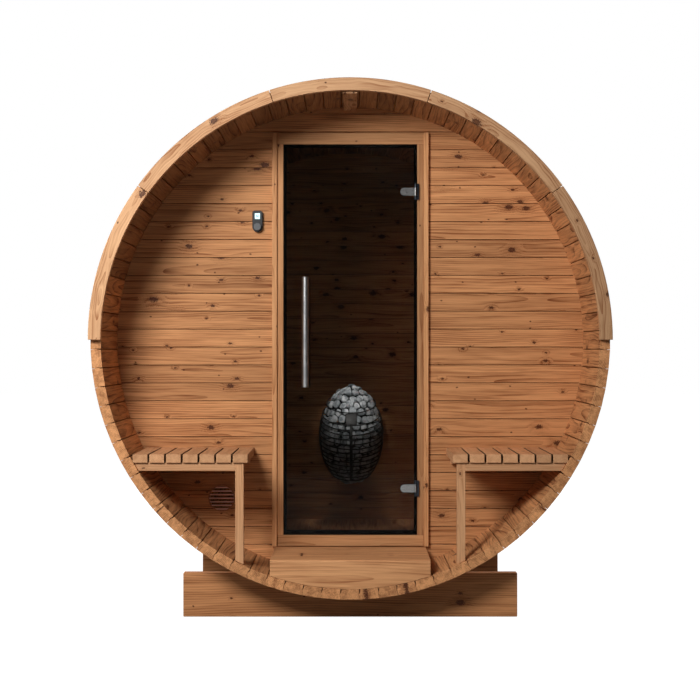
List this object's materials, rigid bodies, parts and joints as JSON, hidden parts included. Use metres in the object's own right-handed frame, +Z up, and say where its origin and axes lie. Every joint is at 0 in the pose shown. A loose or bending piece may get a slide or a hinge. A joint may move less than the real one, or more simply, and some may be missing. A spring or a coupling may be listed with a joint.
{
  "type": "barrel sauna",
  "caption": "Garden sauna built as a wooden barrel on cradles, with an open bench porch, a hinged smoked glass door and a stone heater inside.",
  "frame": {"origin": "on the ground under the middle of the barrel", "axes": "+Z up, the barrel's axis along Y with the porch and the door at -Y, +X to the right as seen from the front"},
  "size_m": [2.114, 2.086, 2.2068],
  "materials": {
    "stave_wood": "bare planed softwood, warm red-brown",
    "trim_wood": "bare planed softwood, pale face",
    "wall_wood": "bare tongue-and-groove boards",
    "frame_wood": "bare planed softwood",
    "bench_wood": "bare planed slats",
    "floor_wood": "bare planed boards",
    "cradle_wood": "bare sawn beams",
    "black_rubber": "matt black",
    "smoked_glass": "dark smoked, clear",
    "brushed_steel": "brushed",
    "black_plastic": "matt black",
    "grey_plastic": "satin grey",
    "vent_plastic": "matt, wood-coloured",
    "stone": null,
    "black_steel": "satin black"
  },
  "bodies": {
    "sauna": {"barrel_staves_01_oclock": "stave_wood", "barrel_staves_02_oclock": "stave_wood", "barrel_staves_03_oclock": "stave_wood", "barrel_staves_04_oclock": "stave_wood", "barrel_staves_05_oclock": "stave_wood", "barrel_staves_06_oclock": "stave_wood", "barrel_staves_07_oclock": "stave_wood", "barrel_staves_08_oclock": "stave_wood", "barrel_staves_09_oclock": "stave_wood", "barrel_staves_10_oclock": "stave_wood", "barrel_staves_11_oclock": "stave_wood", "barrel_staves_12_oclock": "stave_wood", "front_arch_trim": "trim_wood", "rear_arch_trim": "trim_wood", "crown_batten": "trim_wood", "front_wall_left": "wall_wood", "front_wall_right": "wall_wood", "front_wall_over_door": "wall_wood", "front_wall_under_door": "wall_wood", "rear_wall": "wall_wood", "door_jambs": "frame_wood", "door_casings": "frame_wood", "door_head": "frame_wood", "door_sill": "frame_wood", "door_gasket": "black_rubber", "door_hinge_plates": "brushed_steel", "controller_case": "black_plastic", "controller_knob": "grey_plastic", "wall_vent": "vent_plastic", "right_bench_slats": "bench_wood", "left_bench_slats": "bench_wood", "bench_rails": "bench_wood", "bench_posts": "bench_wood", "porch_floor": "floor_wood", "porch_fascia": "floor_wood", "porch_bearers": "floor_wood", "room_floor": "floor_wood", "cradles": "cradle_wood", "steel_bands": "brushed_steel", "heater_stones": "stone", "heater_cage": "black_steel", "heater_bracket": "black_steel"},
    "door": {"door_glass": "smoked_glass", "door_handle_outer": "brushed_steel", "door_handle_inner": "brushed_steel", "door_hinge_arms": "brushed_steel"}
  },
  "joints": [
    {"name": "door_hinge", "type": "hinge", "parent": "sauna", "child": "door", "pos_m": [0.2815, -0.599, 1.152], "axis": [0, 0, 1], "range_deg": [0, 100]}
  ]
}
